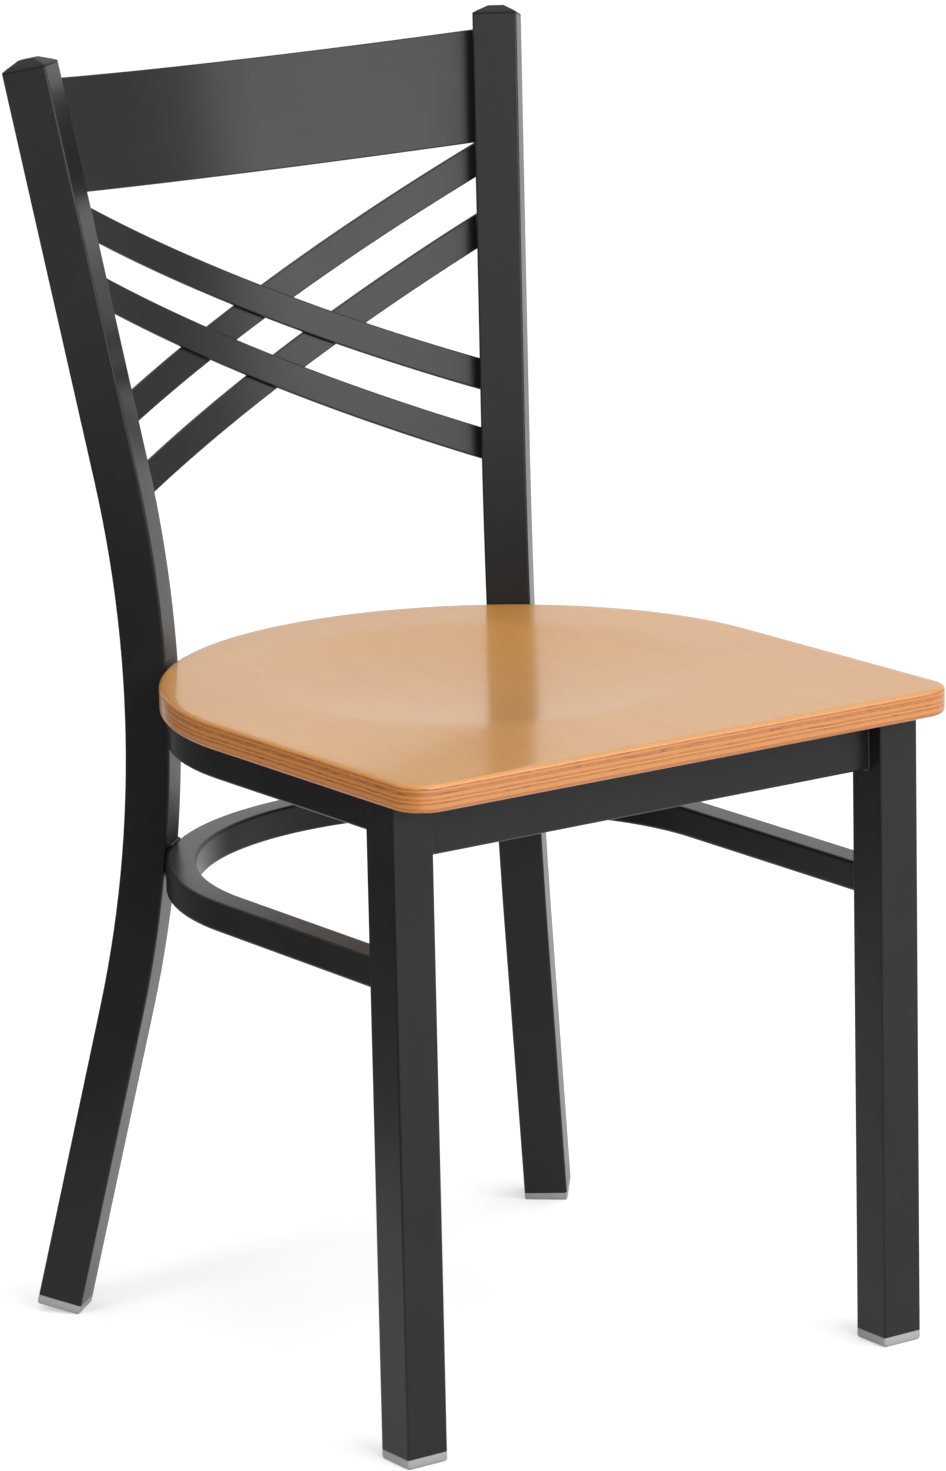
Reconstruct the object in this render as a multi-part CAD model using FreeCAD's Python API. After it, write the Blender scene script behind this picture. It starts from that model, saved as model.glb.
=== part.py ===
import FreeCAD, Part
import math
import os

Vector = FreeCAD.Vector

# Cross back dining chair: a welded square tube frame, a bowed crest rail over
# two pairs of crossed slats, and a plywood seat panel. Millimetres, +Z up,
# the sitter faces -Y. Left and right are as seen from the front of the chair.
# The origin is at the middle of the footprint, on the floor.

# Square tube of the front legs and of the bent rear posts
tube_size = 30.6
tube_wall = 1.2
tube_corner = 1.5

# Seat panel
seat_thickness = 18.0
seat_side_overhang = 15.0
seat_front_overhang = 34.2
seat_corner_radius = 22.0
seat_top_rounding = 4.0
seat_bottom_rounding = 3.0
dish_depth = 4.0
dish_reach = 146.0
dish_forward = 11.0

# Seat ring under the panel, and the rail across its front
frame_height = 436.5
ring_radius = 200.8
ring_tube_width = 20.0
ring_tube_height = 25.3
ring_wall = 1.2
ring_corner = 2.0
rail_height = 40.8
rail_recess = 12.3

# Front legs, which stand a little outside the ring's limbs
leg_side_overhang = 7.7
leg_forward = 199.0

# Rear posts: bent in one plane, closest to the middle at the waist
post_turn = 41.5
post_side_offset = 6.5
post_inward_lean = 1.32
waist_drop = 24.5
bend_radius = 846.0
leg_rake = 13.5
back_rake = 11.57
total_height = 858.4

# Lower ring that ties the four legs
stretcher_height = 328.9
stretcher_size = 20.4
stretcher_wall = 1.2
stretcher_corner = 2.0
stretcher_radius = 202.0
stretcher_leg_inset = 7.8

# Bowed back: crest rail and crossed slats rolled to one radius
bow_radius = 420.0
bar_thickness = 3.0
bar_seat_depth = 17.3
crest_drop = 8.9
crest_height = 77.3
slat_width = 20.4
front_slat_fall = 144.9
rear_slat_fall = 141.4
front_slat_step = 46.4
rear_slat_step = 47.6
bar_edge_easing = 0.8

# Plastic caps on the post tops and glides under the legs
cap_flange = 1.5
cap_chamfer_height = 5.2
cap_chamfer_inset = 8.8
cap_top_corner = 1.0
glide_height = 7.0
glide_rounding = 2.5
glide_tread = 0.8
plug_length = 18.0
plug_wall = 2.0
fin_height = 1.6
fin_pitch = 5.0
fin_count = 3

# Steel tabs and the screws that hold the seat from below
tab_length = 26.0
tab_width = 34.0
tab_thickness = 3.0
front_tab_forward = 120.0
rear_tab_angle = 35.0
screw_diameter = 4.8
screw_bite = 12.0
screw_head_diameter = 10.0
screw_head_height = 3.4
screw_slot_width = 1.4
screw_slot_depth = 1.6

# Clearances
weld_touch = 0.2
bar_clearance = 0.25
slat_crest_gap = 0.3
seat_post_gap = 0.8
plug_clearance = 0.25
fin_clearance = 0.05
hole_clearance = 0.35
reach_beyond = 60.0

half_tube = tube_size / 2
seat_top_height = frame_height + seat_thickness
seat_half_width = ring_radius + seat_side_overhang
leg_side = ring_radius + leg_side_overhang - half_tube
leg_rear_face = -leg_forward + half_tube
waist_height = frame_height - waist_drop
turn = math.radians(post_turn)
post_face_reach = ring_radius + weld_touch
seat_back_centre = (post_face_reach - seat_post_gap - seat_half_width) / math.cos(turn)


def rounded_square_wire(width, height, radius):
    """Closed outline around the origin of the XY plane, with round corners."""
    half_w = width / 2
    half_h = height / 2
    edges = []
    for quarter in range(4):
        along, across = (half_w, half_h) if quarter % 2 == 0 else (half_h, half_w)
        turn = FreeCAD.Rotation(Vector(0, 0, 1), 90.0 * quarter)
        corner = Vector(along - radius, across - radius, 0)
        middle = corner + Vector(radius, radius, 0) * math.sqrt(0.5)
        start = Vector(along, -across + radius, 0)
        side_end = Vector(along, across - radius, 0)
        arc_end = Vector(along - radius, across, 0)
        points = [turn.multVec(p) for p in (start, side_end, middle, arc_end)]
        edges.append(Part.LineSegment(points[0], points[1]).toShape())
        edges.append(Part.Arc(points[1], points[2], points[3]).toShape())
    return Part.Wire(edges)


def eased_wire(width, height, easing):
    """Closed outline around the origin of the XY plane, with small bevels at the corners."""
    half_w = width / 2
    half_h = height / 2
    half = [(half_w, easing - half_h), (half_w, half_h - easing),
            (half_w - easing, half_h), (easing - half_w, half_h)]
    points = [Vector(x, y, 0) for x, y in half] + [Vector(-x, -y, 0) for x, y in half]
    return Part.makePolygon(points + points[:1])


def placed(shape, origin, x_dir, z_dir):
    """Copy of a shape moved from the world axes to the given axes."""
    y_dir = z_dir.cross(x_dir)
    matrix = FreeCAD.Matrix(
        x_dir.x, y_dir.x, z_dir.x, origin.x,
        x_dir.y, y_dir.y, z_dir.y, origin.y,
        x_dir.z, y_dir.z, z_dir.z, origin.z,
        0, 0, 0, 1)
    moved = shape.copy()
    moved.Placement = FreeCAD.Placement(matrix).multiply(moved.Placement)
    return moved


def swept(path, profile):
    return path.makePipeShell([profile], True, False)


def swept_tube(path, start, x_dir, z_dir, width, height, corner, wall):
    """Hollow rectangular tube along a path of lines and tangent arcs."""
    outer = rounded_square_wire(width, height, corner)
    inner = rounded_square_wire(width - 2 * wall, height - 2 * wall, corner - wall)
    solids = [swept(path, placed(wire, start, x_dir, z_dir)) for wire in (outer, inner)]
    return solids[0].cut(solids[1])


def mirrored(shape):
    return shape.mirror(Vector(0, 0, 0), Vector(1, 0, 0))


def u_path(front_half_width, front_y, radius, centre_y, height):
    """Centre line of a U ring: two limbs tangent to a round back."""
    reach = math.hypot(front_half_width, front_y - centre_y)
    angle = math.atan2(front_y - centre_y, front_half_width) + math.acos(radius / reach)
    front = Vector(front_half_width, front_y, height)
    tangent = Vector(radius * math.cos(angle), centre_y + radius * math.sin(angle), height)
    back = Vector(0, centre_y + radius, height)
    left_front = Vector(-front.x, front.y, height)
    left_tangent = Vector(-tangent.x, tangent.y, height)
    path = Part.Wire([
        Part.LineSegment(left_front, left_tangent).toShape(),
        Part.Arc(left_tangent, back, tangent).toShape(),
        Part.LineSegment(tangent, front).toShape()])
    return path, left_front, (left_tangent - left_front).normalize()


def u_tube(front_half_width, front_y, radius, centre_y, top, width, height, corner, wall):
    """Hollow U ring whose limbs end square on the plane y = front_y."""
    path, start, along = u_path(front_half_width, front_y - width, radius, centre_y,
                                top - height / 2)
    sideways = Vector(0, 0, 1).cross(along)
    tube = swept_tube(path, start, sideways, along, width, height, corner, wall)
    size = 4 * radius
    keep = Part.makeBox(size, size, 2 * height, Vector(-size / 2, front_y, top - 1.5 * height))
    return tube.common(keep)


# Axes of the right rear post, whose bend plane holds post_out and post_up
lean_in = math.radians(post_inward_lean)
post_out = Vector(math.sin(turn), math.cos(turn), 0)
post_flat = Vector(math.cos(turn), -math.sin(turn), 0)
post_up = Vector(0, 0, math.cos(lean_in)) - post_flat * math.sin(lean_in)
post_side = post_out.cross(post_up) * -1
if post_side.dot(post_flat) < 0:
    post_side = post_side * -1
waist = (post_out * (post_face_reach + half_tube)
         + post_flat * post_side_offset + Vector(0, 0, waist_height))
rake_down = math.radians(leg_rake)
rake_up = math.radians(back_rake)


def post_point(out, up):
    return waist + post_out * out + post_up * up


def post_axis_below():
    return post_out * math.sin(rake_down) - post_up * math.cos(rake_down)


def post_axis_above():
    return post_out * math.sin(rake_up) + post_up * math.cos(rake_up)


def on_upper_axis(height):
    """Point of the straight upper part of the post's centre line at a height."""
    bend_end = post_point(bend_radius * (1 - math.cos(rake_up)), bend_radius * math.sin(rake_up))
    axis = post_axis_above()
    return bend_end + axis * ((height - bend_end.z) / axis.z)


def foot_centre_height():
    """Height of the middle of the raked glide's sole, when its front edge treads the floor."""
    lowest = ((half_tube - glide_rounding) * math.sin(rake_down)
              + glide_rounding * (1 - math.cos(rake_down)))
    return lowest - glide_tread


def on_lower_axis(height):
    bend_end = post_point(bend_radius * (1 - math.cos(rake_down)),
                          -bend_radius * math.sin(rake_down))
    axis = post_axis_below()
    return bend_end + axis * ((height - bend_end.z) / axis.z)


post_sole = on_lower_axis(foot_centre_height())
post_bottom = post_sole - post_axis_below() * glide_height
cap_top_half = half_tube - cap_chamfer_inset
cap_rise = (cap_flange + cap_chamfer_height) * post_axis_above().z
cap_rise += cap_top_half * math.sin(rake_up) * math.cos(lean_in)
cap_rise += (cap_top_half - cap_top_corner) * math.sin(lean_in)
post_top = on_upper_axis(total_height - cap_rise)
crest_middle = post_top.z - crest_drop - crest_height * post_axis_above().z / 2


def make_rear_post():
    middle_up = (rake_up - rake_down) / 2
    bend = Part.Arc(
        post_point(bend_radius * (1 - math.cos(rake_down)), -bend_radius * math.sin(rake_down)),
        post_point(bend_radius * (1 - math.cos(middle_up)), bend_radius * math.sin(middle_up)),
        post_point(bend_radius * (1 - math.cos(rake_up)), bend_radius * math.sin(rake_up)))
    path = Part.Wire([
        Part.LineSegment(post_bottom, bend.StartPoint).toShape(),
        bend.toShape(),
        Part.LineSegment(bend.EndPoint, post_top).toShape()])
    return swept_tube(path, post_bottom, post_side, post_axis_below() * -1,
                      tube_size, tube_size, tube_corner, tube_wall)


def make_front_leg():
    outer = rounded_square_wire(tube_size, tube_size, tube_corner)
    inner = rounded_square_wire(tube_size - 2 * tube_wall, tube_size - 2 * tube_wall,
                                tube_corner - tube_wall)
    height = Vector(0, 0, frame_height - glide_height)
    tube = Part.Face(outer).extrude(height).cut(Part.Face(inner).extrude(height))
    tube.translate(Vector(leg_side, -leg_forward, glide_height))
    return tube


def make_front_rail():
    length = 2 * leg_side - tube_size
    depth = tube_size - rail_recess
    outer = rounded_square_wire(depth, rail_height, ring_corner)
    inner = rounded_square_wire(depth - 2 * ring_wall, rail_height - 2 * ring_wall,
                                ring_corner - ring_wall)
    run = Vector(0, 0, length)
    tube = Part.Face(outer).extrude(run).cut(Part.Face(inner).extrude(run))
    origin = Vector(-length / 2, -leg_forward + rail_recess / 2, frame_height - rail_height / 2)
    return placed(tube, origin, Vector(0, 1, 0), Vector(1, 0, 0))


def make_seat_ring():
    centre_radius = ring_radius - ring_tube_width / 2
    return u_tube(centre_radius, leg_rear_face, centre_radius, 0, frame_height,
                  ring_tube_width, ring_tube_height, ring_corner, ring_wall)


def make_stretcher_ring():
    drop = waist_height - stretcher_height
    curve_out = bend_radius - math.sqrt(bend_radius ** 2 - drop ** 2)
    centre_y = (ring_radius + curve_out - stretcher_radius) / math.cos(turn)
    half = stretcher_size / 2
    limb_side = leg_side + half_tube - stretcher_leg_inset - half
    return u_tube(limb_side, leg_rear_face, stretcher_radius - half, centre_y,
                  stretcher_height, stretcher_size, stretcher_size, stretcher_corner,
                  stretcher_wall)


def seat_outline(height):
    """Straight front and sides, round front corners and a half round back."""
    w = seat_half_width
    r = seat_corner_radius
    diagonal = r * math.sqrt(0.5)
    back_centre = seat_back_centre
    front = -leg_forward - half_tube - seat_front_overhang
    right_corner = Vector(w - r, front + r, height)
    left_corner = Vector(-w + r, front + r, height)
    edges = [
        Part.LineSegment(Vector(-w + r, front, height), Vector(w - r, front, height)),
        Part.Arc(Vector(w - r, front, height), right_corner + Vector(diagonal, -diagonal, 0),
                 Vector(w, front + r, height)),
        Part.LineSegment(Vector(w, front + r, height), Vector(w, back_centre, height)),
        Part.Arc(Vector(w, back_centre, height), Vector(0, back_centre + w, height),
                 Vector(-w, back_centre, height)),
        Part.LineSegment(Vector(-w, back_centre, height), Vector(-w, front + r, height)),
        Part.Arc(Vector(-w, front + r, height), left_corner + Vector(-diagonal, -diagonal, 0),
                 Vector(-w + r, front, height))]
    return Part.Wire([edge.toShape() for edge in edges])


def edges_at(shape, height):
    return [edge for edge in shape.Edges
            if abs(edge.BoundBox.ZMin - height) < 1e-4 and abs(edge.BoundBox.ZMax - height) < 1e-4]


def tab_frames():
    """Root point and inward direction of each seat tab, by name."""
    inner = ring_radius - ring_tube_width
    angle = math.radians(rear_tab_angle)
    rear = Vector(math.sin(angle), math.cos(angle), 0)
    frames = {}
    for name, side in (("left", -1), ("right", 1)):
        frames["front_" + name] = (Vector(side * inner, -front_tab_forward, 0),
                                   Vector(-side, 0, 0))
        frames["rear_" + name] = (Vector(side * rear.x * inner, rear.y * inner, 0),
                                  Vector(-side * rear.x, -rear.y, 0))
    return frames


def tab_hole_place(root, inward):
    return root + inward * (tab_length / 2)


def make_seat_panel():
    body = Part.Face(seat_outline(frame_height)).extrude(Vector(0, 0, seat_thickness))
    body = body.makeFillet(seat_top_rounding, edges_at(body, seat_top_height))
    body = body.makeFillet(seat_bottom_rounding, edges_at(body, frame_height))
    ball = (dish_reach ** 2 + dish_depth ** 2) / (2 * dish_depth)
    dish = Part.makeSphere(ball, Vector(0, -dish_forward, seat_top_height - dish_depth + ball))
    body = body.cut(dish)
    hole = screw_diameter / 2 + hole_clearance
    for root, inward in tab_frames().values():
        place = tab_hole_place(root, inward)
        place.z = frame_height
        body = body.cut(Part.makeCylinder(hole, screw_bite + hole_clearance, place))
    return body


def make_tab(root, inward):
    """Flat plate welded inside the ring, flush with its top, under the seat."""
    up = Vector(0, 0, 1)
    plate = Part.makeBox(tab_length + ring_tube_width / 2, tab_width, tab_thickness,
                         Vector(-ring_tube_width / 2, -tab_width / 2, -tab_thickness))
    origin = root + up * frame_height
    plate = placed(plate, origin, inward, up)
    inner = ring_radius - ring_tube_width - weld_touch
    inside = Part.makeCylinder(inner, 4 * tab_thickness,
                               Vector(0, 0, frame_height - 2 * tab_thickness))
    front = Part.makeBox(2 * inner, 2 * inner, 4 * tab_thickness,
                         Vector(-inner, -2 * inner, frame_height - 2 * tab_thickness))
    plate = plate.common(inside.fuse(front).removeSplitter())
    hole = Part.makeCylinder(screw_diameter / 2 + hole_clearance, 4 * tab_thickness,
                             tab_hole_place(root, inward) + up * (frame_height - 2 * tab_thickness))
    return plate.cut(hole)


def make_screw(root, inward):
    """Pan head screw driven up through a tab into the seat panel."""
    seat_of_head = tab_hole_place(root, inward) + Vector(0, 0, frame_height - tab_thickness)
    down = Vector(0, 0, -1)
    shank = Part.makeCylinder(screw_diameter / 2, tab_thickness + screw_bite, seat_of_head)
    head = Part.makeCylinder(screw_head_diameter / 2, screw_head_height, seat_of_head, down)
    low_rim = [edge for edge in head.Edges
               if abs(edge.BoundBox.ZMax - (seat_of_head.z - screw_head_height)) < 1e-4]
    head = head.makeFillet(screw_head_height / 2, low_rim)
    screw = head.fuse(shank)
    for long_side, short_side in ((1, 0), (0, 1)):
        reach = screw_head_diameter * 0.6
        size_x = reach if long_side else screw_slot_width
        size_y = reach if short_side else screw_slot_width
        corner = seat_of_head + Vector(-size_x / 2, -size_y / 2, -screw_head_height)
        screw = screw.cut(Part.makeBox(size_x, size_y, screw_slot_depth, corner))
    return screw.removeSplitter()


# Bowed back surface: a cylinder that passes through the rolled bars' seats on both posts
def bar_seat(height):
    """Where a bar's front face meets the inner face of the right post."""
    axis = post_axis_above()
    across = post_side.cross(axis) * -1
    if across.dot(post_out) < 0:
        across = across * -1
    centre = on_upper_axis(height)
    return centre - post_side * half_tube + across * (bar_seat_depth - half_tube)


def bow_depth(half_width):
    return bow_radius - math.sqrt(bow_radius ** 2 - half_width ** 2)


high_seat = bar_seat(crest_middle)
low_seat = bar_seat(crest_middle - crest_height - rear_slat_step - rear_slat_fall)
fall = math.hypot(high_seat.y - low_seat.y, high_seat.z - low_seat.z)
back_lean = (math.atan2(high_seat.y - low_seat.y, high_seat.z - low_seat.z)
             + math.asin((bow_depth(high_seat.x) - bow_depth(low_seat.x)) / fall))
back_up = Vector(0, math.sin(back_lean), math.cos(back_lean))
back_rear = Vector(0, math.cos(back_lean), -math.sin(back_lean))
back_origin = Vector(0, high_seat.y, high_seat.z)


def back_height(height):
    """Distance along the leaning back of a place at a given height on the posts."""
    return (height - crest_middle) / math.cos(back_lean)


# The upper slats' high corners lie just under the crest rail's lower corners
slat_slope = math.atan2(rear_slat_fall / math.cos(back_lean), 2 * high_seat.x)
crest_low_edge = crest_middle - crest_height * math.cos(back_lean) / 2
upper_slat_high = (crest_low_edge - slat_crest_gap
                   - slat_width * math.cos(back_lean) / math.cos(slat_slope) / 2)


bow_centre = back_origin - back_rear * (bow_radius - bow_depth(high_seat.x))


def bow_shell(front_radius):
    length = 4 * total_height
    shell = Part.makeCylinder(front_radius + bar_thickness, length)
    shell = shell.cut(Part.makeCylinder(front_radius, length))
    return placed(shell, bow_centre - back_up * (length / 2), back_rear * -1, back_up)


def between_posts():
    """Space between the inner faces of the two posts."""
    size = 4 * total_height
    box = Part.makeBox(size, size, size, Vector(-size, -size / 2, -size / 2))
    right = placed(box, waist - post_side * half_tube, post_side, post_up)
    return right.common(mirrored(right))


def bar_blank(left, right, width):
    """Prism through the back, whose front view is a straight bar past both posts."""
    along = (right - left).normalize()
    across = Vector(-along.y, along.x, 0)
    left_end = left - along * reach_beyond
    right_end = right + along * reach_beyond
    half = across * (width / 2)
    corners = [left_end - half, right_end - half, right_end + half, left_end + half]
    face = Part.Face(Part.makePolygon(corners + corners[:1]))
    depth = bow_radius / 2
    blank = face.extrude(Vector(0, 0, depth))
    return placed(blank, back_origin + back_rear * (depth / 2), Vector(1, 0, 0),
                  back_rear * -1)


def make_bar(left, right, width, front_radius):
    bar = bar_blank(left, right, width).common(bow_shell(front_radius)).Solids[0]
    bar = bar.makeFillet(bar_edge_easing, long_edges(bar, (right - left).Length / 2))
    return bar.common(between_posts()).Solids[0]


def make_crest_rail():
    """Level bar, whose section is swung around the axis of the bow."""
    swing = math.degrees(math.asin((high_seat.x + reach_beyond) / bow_radius))
    section = Part.Face(eased_wire(bar_thickness, crest_height, bar_edge_easing))
    section = placed(section, bow_centre + back_rear * (bow_radius + bar_thickness / 2),
                     back_rear, Vector(1, 0, 0))
    section.rotate(bow_centre, back_up, -swing)
    bar = section.revolve(bow_centre, back_up, 2 * swing)
    return bar.common(between_posts()).Solids[0]


def long_edges(shape, least):
    return [edge for edge in shape.Edges if edge.Length > least]


def slat_ends(high, low):
    left = Vector(-bar_seat(high).x, back_height(high), 0)
    right = Vector(bar_seat(low).x, back_height(low), 0)
    return left, right


def make_plug(outline_corner):
    """Hollow square plug with fins, from the tube's end at z = 0 up into the tube."""
    inside = tube_size - 2 * tube_wall
    body = inside - 2 * fin_height
    corner = max(outline_corner - tube_wall, plug_clearance)
    outer = Part.Face(rounded_square_wire(body, body, corner)).extrude(Vector(0, 0, plug_length))
    hollow = body - 2 * plug_wall
    inner = Part.Face(rounded_square_wire(hollow, hollow, corner)).extrude(
        Vector(0, 0, plug_length))
    plug = outer.cut(inner)
    fin_size = inside - 2 * fin_clearance
    for index in range(fin_count):
        base = plug_clearance + fin_pitch * (index + 0.5)
        fin = Part.Face(rounded_square_wire(fin_size, fin_size, corner)).extrude(
            Vector(0, 0, fin_height))
        fin = fin.cut(Part.Face(rounded_square_wire(hollow, hollow, corner)).extrude(
            Vector(0, 0, fin_height)))
        fin.translate(Vector(0, 0, base))
        plug = plug.fuse(fin)
    return plug


def make_glide():
    """Foot glide in its own axes: sole at z = -glide_height, plug above z = 0."""
    face = Part.Face(rounded_square_wire(tube_size, tube_size, tube_corner))
    head = face.extrude(Vector(0, 0, -glide_height))
    head = head.makeFillet(glide_rounding * 0.98, edges_at(head, -glide_height))
    return head.fuse(make_plug(tube_corner)).removeSplitter()


def make_cap():
    """Post cap in its own axes: flange from z = 0 up, then a chamfered crown, plug below."""
    base = rounded_square_wire(tube_size, tube_size, tube_corner)
    flange = Part.Face(base).extrude(Vector(0, 0, cap_flange))
    low = base.copy()
    low.translate(Vector(0, 0, cap_flange))
    top_size = tube_size - 2 * cap_chamfer_inset
    high = rounded_square_wire(top_size, top_size, cap_top_corner)
    high.translate(Vector(0, 0, cap_flange + cap_chamfer_height))
    crown = Part.makeLoft([low, high], True, True)
    plug = make_plug(tube_corner)
    plug.rotate(Vector(0, 0, 0), Vector(1, 0, 0), 180)
    return flange.fuse(crown).fuse(plug).removeSplitter()


def tread_trimmed(glide):
    """Glide with what reaches under the floor cut away, as its flat tread."""
    size = 8 * tube_size
    centre = glide.BoundBox.Center
    floor = Part.makeBox(size, size, size, Vector(centre.x - size / 2, centre.y - size / 2, -size))
    return glide.cut(floor)


def collect_parts():
    parts = {}
    parts["seat_panel"] = make_seat_panel()
    parts["seat_ring"] = make_seat_ring()
    parts["front_rail"] = make_front_rail()
    parts["stretcher_ring"] = make_stretcher_ring()

    shell_front = bow_radius - bar_thickness - bar_clearance
    parts["crest_rail"] = make_crest_rail()
    for level, rank in (("upper", 0), ("lower", 1)):
        high = upper_slat_high - rank * front_slat_step
        left, right = slat_ends(high, high - front_slat_fall)
        parts["back_slat_front_" + level] = make_bar(left, right, slat_width, shell_front)
        high = upper_slat_high - rank * rear_slat_step
        left, right = slat_ends(high, high - rear_slat_fall)
        parts["back_slat_rear_" + level] = mirrored(make_bar(left, right, slat_width, bow_radius))

    rear_glide = placed(make_glide(), post_bottom, post_side, post_axis_below() * -1)
    cap = placed(make_cap(), post_top, post_side, post_axis_above())
    front_glide = make_glide()
    front_glide.translate(Vector(leg_side, -leg_forward, glide_height))
    pairs = {
        "front_leg": make_front_leg(),
        "rear_post": make_rear_post(),
        "post_cap": cap,
        "front_glide": front_glide,
        "rear_glide": tread_trimmed(rear_glide)}
    for name, shape in pairs.items():
        parts[name + "_right"] = shape
        parts[name + "_left"] = mirrored(shape)

    screws = []
    for name, (root, inward) in tab_frames().items():
        parts["seat_tab_" + name] = make_tab(root, inward)
        screws.append(make_screw(root, inward))
    parts["seat_screws"] = Part.makeCompound(screws)
    return parts


def main():
    os.makedirs("parts", exist_ok=True)
    parts = collect_parts()
    box = FreeCAD.BoundBox()
    for shape in parts.values():
        box.add(shape.optimalBoundingBox(False, False))
    middle = Vector(-box.Center.x, -box.Center.y, 0)
    for name, shape in parts.items():
        shape.translate(middle)
        shape.exportStep("parts/" + name + ".step")
        print(name, len(shape.Solids), round(shape.Volume), shape.isValid())
    print("size", round(box.XLength, 2), round(box.YLength, 2), round(box.ZLength, 2))
    print("lowest", round(box.ZMin, 3), "shift", round(middle.y, 3))
    print("back lean", round(math.degrees(back_lean), 2))


main()
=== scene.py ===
import math

import bmesh
import bpy
import numpy as np
from mathutils import Matrix, Vector


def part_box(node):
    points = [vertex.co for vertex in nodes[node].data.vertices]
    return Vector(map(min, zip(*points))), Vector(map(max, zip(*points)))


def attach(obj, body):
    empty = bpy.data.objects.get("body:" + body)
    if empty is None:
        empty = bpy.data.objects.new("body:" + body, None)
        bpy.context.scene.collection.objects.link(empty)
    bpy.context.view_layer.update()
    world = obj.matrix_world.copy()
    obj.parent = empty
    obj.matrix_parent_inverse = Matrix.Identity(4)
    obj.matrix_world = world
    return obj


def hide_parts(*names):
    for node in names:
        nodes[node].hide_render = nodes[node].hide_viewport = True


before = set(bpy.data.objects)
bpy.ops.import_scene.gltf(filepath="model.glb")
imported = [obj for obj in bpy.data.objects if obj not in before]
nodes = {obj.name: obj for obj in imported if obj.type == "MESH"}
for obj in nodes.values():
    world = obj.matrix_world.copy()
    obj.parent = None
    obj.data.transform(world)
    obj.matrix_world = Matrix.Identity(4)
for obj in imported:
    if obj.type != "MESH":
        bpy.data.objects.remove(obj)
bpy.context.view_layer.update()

# Sizes that several pieces share, in metres
mm = 0.001
chair = {
    "tube": 30.6 * mm,
    "tubeCorner": 1.5 * mm,
    "frameHeight": 436.5 * mm,
    "totalHeight": 858.4 * mm,
    "ringRadius": 200.8 * mm,
    "legForward": 199.0 * mm,
    "legSide": 193.2 * mm,
    "glideHeight": 7.0 * mm,
}
# The middle of the seat ring lies a little in front of the origin, by shiftY
legLow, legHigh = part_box("front_leg_right")
shiftY = (legLow.y + legHigh.y) / 2 + chair["legForward"]
halfTube = chair["tube"] / 2
rearFace = shiftY - chair["legForward"] + halfTube
worldUp = Vector((0, 0, 1))


def addObject(name, data):
    made = bpy.data.objects.new(name, data)
    bpy.context.scene.collection.objects.link(made)
    return made


def linkPiece(name, mesh, *replaced, slot="frame_coating", material=None):
    piece = addObject(name, mesh)
    if material is not None:
        mesh.materials.clear()
        mesh.materials.append(material)
    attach(piece, "root")
    if replaced:
        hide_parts(*replaced)


def linkPair(name, mesh, node, slot="frame_coating", material=None):
    # The right piece and its mirror image
    linkPiece(name + "Right", mesh, node + "_right", slot=slot, material=material)
    copy = mesh.copy()
    copy.name = name + "Left"
    copy.transform(Matrix.Scale(-1, 4, Vector((1, 0, 0))))
    copy.flip_normals()
    linkPiece(name + "Left", copy, node + "_left", slot=slot)


def smoothed(mesh, sharpFrom):
    # Smooth shading, apart from edges that bend by more than sharpFrom degrees
    mesh.shade_smooth()
    mesh.set_sharp_from_angle(angle=math.radians(sharpFrom))
    return mesh


def turnedOut(mesh):
    # Faces outwards whichever way the rings ran
    work = bmesh.new()
    work.from_mesh(mesh)
    bmesh.ops.recalc_face_normals(work, faces=work.faces)
    work.to_mesh(mesh)
    work.free()
    return mesh


def turnedBy(xDir, yDir, zDir):
    return Matrix((xDir, yDir, zDir)).transposed().to_4x4()


def axesMatrix(origin, xDir, zDir):
    zDir = zDir.normalized()
    xDir = (xDir - zDir * xDir.dot(zDir)).normalized()
    return Matrix.Translation(origin) @ turnedBy(xDir, zDir.cross(xDir), zDir)


def newMesh(name, points, edges, faces):
    mesh = bpy.data.meshes.new(name)
    mesh.from_pydata([tuple(p) for p in points], edges, faces)
    mesh.update()
    return mesh


def bandFaces(low, high, count):
    # Faces between two rings of points, by the number of each ring's first point
    return [(low + k, low + (k + 1) % count, high + (k + 1) % count, high + k)
            for k in range(count)]


def loftMesh(name, rings):
    # Closed skin over rings of equally many points, listed from low to high
    count = len(rings[0])
    faces = []
    for level in range(len(rings) - 1):
        faces += bandFaces(level * count, (level + 1) * count, count)
    faces.append(tuple(range(count - 1, -1, -1)))
    top = (len(rings) - 1) * count
    faces.append(tuple(range(top, top + count)))
    return newMesh(name, [p for ring in rings for p in ring], [], faces)


def roundedOutline(width, depth, corner, steps):
    # Points round a rectangle with round corners, which take so many steps each
    points = []
    for quarter, (sx, sy) in enumerate(((1, 1), (-1, 1), (-1, -1), (1, -1))):
        for k in range(steps + 1):
            angle = math.radians(90 * quarter + 90 * k / steps)
            points.append((sx * (width / 2 - corner) + corner * math.cos(angle),
                           sy * (depth / 2 - corner) + corner * math.sin(angle)))
    return points


def roundedSquare(size, corner, height, steps=6):
    corner = min(corner, size / 2 * 0.98)
    return [Vector((x, y, height)) for x, y in roundedOutline(size, size, corner, steps)]


def join(tree, start, end):
    tree.links.new(start, end)


def feed(tree, node, inputs):
    # By each input's name or place: a socket is joined to it, and a plain value is set
    for label, value in inputs.items():
        if isinstance(value, bpy.types.NodeSocket):
            join(tree, value, node.inputs[label])
        else:
            node.inputs[label].default_value = value
    return node


def addNode(tree, kind, inputs=None, **settings):
    node = tree.nodes.new(kind)
    for key, value in settings.items():
        setattr(node, key, value)
    return feed(tree, node, inputs or {})


def mathNode(tree, operation, a, b=0.5, clamp=False):
    return addNode(tree, "ShaderNodeMath", {0: a, 1: b}, operation=operation,
                   use_clamp=clamp).outputs[0]


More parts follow.
